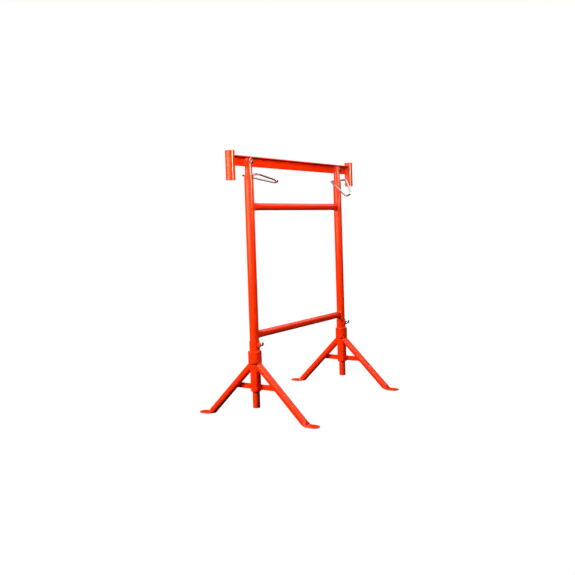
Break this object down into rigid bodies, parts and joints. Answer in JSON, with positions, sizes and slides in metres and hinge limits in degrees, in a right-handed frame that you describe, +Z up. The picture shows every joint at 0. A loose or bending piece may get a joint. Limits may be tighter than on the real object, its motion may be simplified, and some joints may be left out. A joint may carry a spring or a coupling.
{
  "type": "folding builder's sawhorse",
  "caption": "Steel tube sawhorse with a telescopic T-rail top, bent-rod height pins, guard-rail post sockets and swivelling legs that fold flat.",
  "frame": {"origin": "on the ground, midway between the two posts", "axes": "+Z up, +X along the top rail from the left post to the right post, -Y to the front, where the lock screws and pins are worked"},
  "size_m": [1.1294, 0.6678, 1.2272],
  "materials": {
    "orange_paint": "gloss",
    "zinc_plate": "bright"
  },
  "bodies": {
    "main_frame": {"left_upright": "orange_paint", "right_upright": "orange_paint", "upper_crossbar": "orange_paint", "lower_crossbar": "orange_paint"},
    "top_frame": {"top_rail": "orange_paint", "left_inner_tube": "orange_paint", "right_inner_tube": "orange_paint", "left_post_socket": "orange_paint", "right_post_socket": "orange_paint", "rail_bolts": "zinc_plate", "rail_nuts": "zinc_plate"},
    "left_foot": {"left_sleeve": "orange_paint", "left_collar": "orange_paint", "left_bearing_ring": "orange_paint", "left_front_leg": "orange_paint", "left_rear_leg": "orange_paint", "left_front_brace": "orange_paint", "left_rear_brace": "orange_paint", "left_lock_nut": "orange_paint"},
    "left_lock": {"left_lock_screw": "zinc_plate"},
    "left_pin": {"left_height_pin": "zinc_plate"},
    "right_foot": {"right_sleeve": "orange_paint", "right_collar": "orange_paint", "right_bearing_ring": "orange_paint", "right_front_leg": "orange_paint", "right_rear_leg": "orange_paint", "right_front_brace": "orange_paint", "right_rear_brace": "orange_paint", "right_lock_nut": "orange_paint"},
    "right_lock": {"right_lock_screw": "zinc_plate"},
    "right_pin": {"right_height_pin": "zinc_plate"}
  },
  "joints": [
    {"name": "top_frame_lift", "type": "slide", "parent": "main_frame", "child": "top_frame", "axis": [0, 0, 1], "range_m": [0, 0.7]},
    {"name": "left_foot_swivel", "type": "hinge", "parent": "main_frame", "child": "left_foot", "pos_m": [-0.408, 0, 0.25], "axis": [0, 0, 1], "range_deg": [-90, 90]},
    {"name": "left_lock_turn", "type": "hinge", "parent": "left_foot", "child": "left_lock", "pos_m": [-0.408, -0.03, 0.347], "axis": [0, -1, 0], "range_deg": [0, 180]},
    {"name": "left_pin_pull", "type": "slide", "parent": "top_frame", "child": "left_pin", "axis": [0, -1, 0], "range_m": [0, 0.06]},
    {"name": "right_foot_swivel", "type": "hinge", "parent": "main_frame", "child": "right_foot", "pos_m": [0.408, 0, 0.25], "axis": [0, 0, 1], "range_deg": [-90, 90]},
    {"name": "right_lock_turn", "type": "hinge", "parent": "right_foot", "child": "right_lock", "pos_m": [0.408, -0.03, 0.347], "axis": [0, -1, 0], "range_deg": [0, 180]},
    {"name": "right_pin_pull", "type": "slide", "parent": "top_frame", "child": "right_pin", "axis": [0, -1, 0], "range_m": [0, 0.06]}
  ]
}
